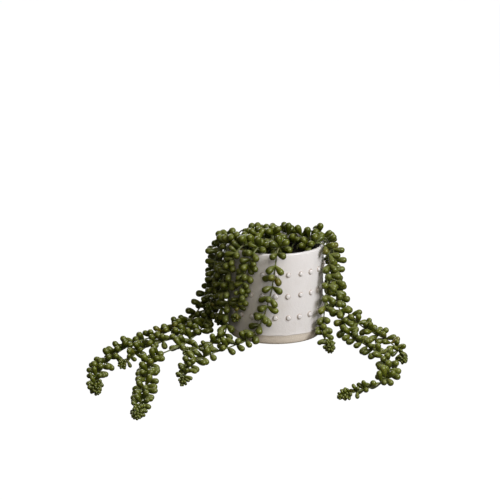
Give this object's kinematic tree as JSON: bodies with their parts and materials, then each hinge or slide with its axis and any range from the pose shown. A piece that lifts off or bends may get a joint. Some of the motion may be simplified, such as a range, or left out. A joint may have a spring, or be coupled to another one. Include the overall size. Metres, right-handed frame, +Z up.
{
  "type": "potted string of pearls",
  "caption": "Trailing succulent with club-shaped leaves in whorls along thin stems, hanging over a dotted, glazed pot filled with soil and lying along the surface in front of it.",
  "frame": {"origin": "middle of the pot's flat base, on the surface that it stands on", "axes": "+Z up along the pot's axis, -Y towards the front, where the long strands lie"},
  "size_m": [0.3275, 0.397, 0.1182],
  "materials": {
    "glaze": "warm white glaze with a soft shine, bare clay at the foot",
    "soil": "dark, damp, crumbly potting soil",
    "leaf": "smooth, fleshy olive green with a waxy shine"
  },
  "bodies": {
    "root": {"pot": "glaze", "soil": "soil", "strand_front": "leaf", "strand_front_left": "leaf", "strand_left_near": "leaf", "strand_left_short": "leaf", "strand_left_outer": "leaf", "strand_left_long": "leaf", "strand_left_middle": "leaf", "strand_left_far": "leaf", "strand_right_near": "leaf", "strand_right_long": "leaf", "strand_right_short": "leaf", "strand_right_far": "leaf", "strand_back_right": "leaf", "strand_back_middle": "leaf", "strand_back_far": "leaf", "strand_back_left": "leaf", "sprig_middle": "leaf", "sprig_front": "leaf", "sprig_right": "leaf", "sprig_back_right": "leaf", "sprig_back": "leaf", "sprig_back_left": "leaf", "sprig_left": "leaf"}
  },
  "joints": []
}
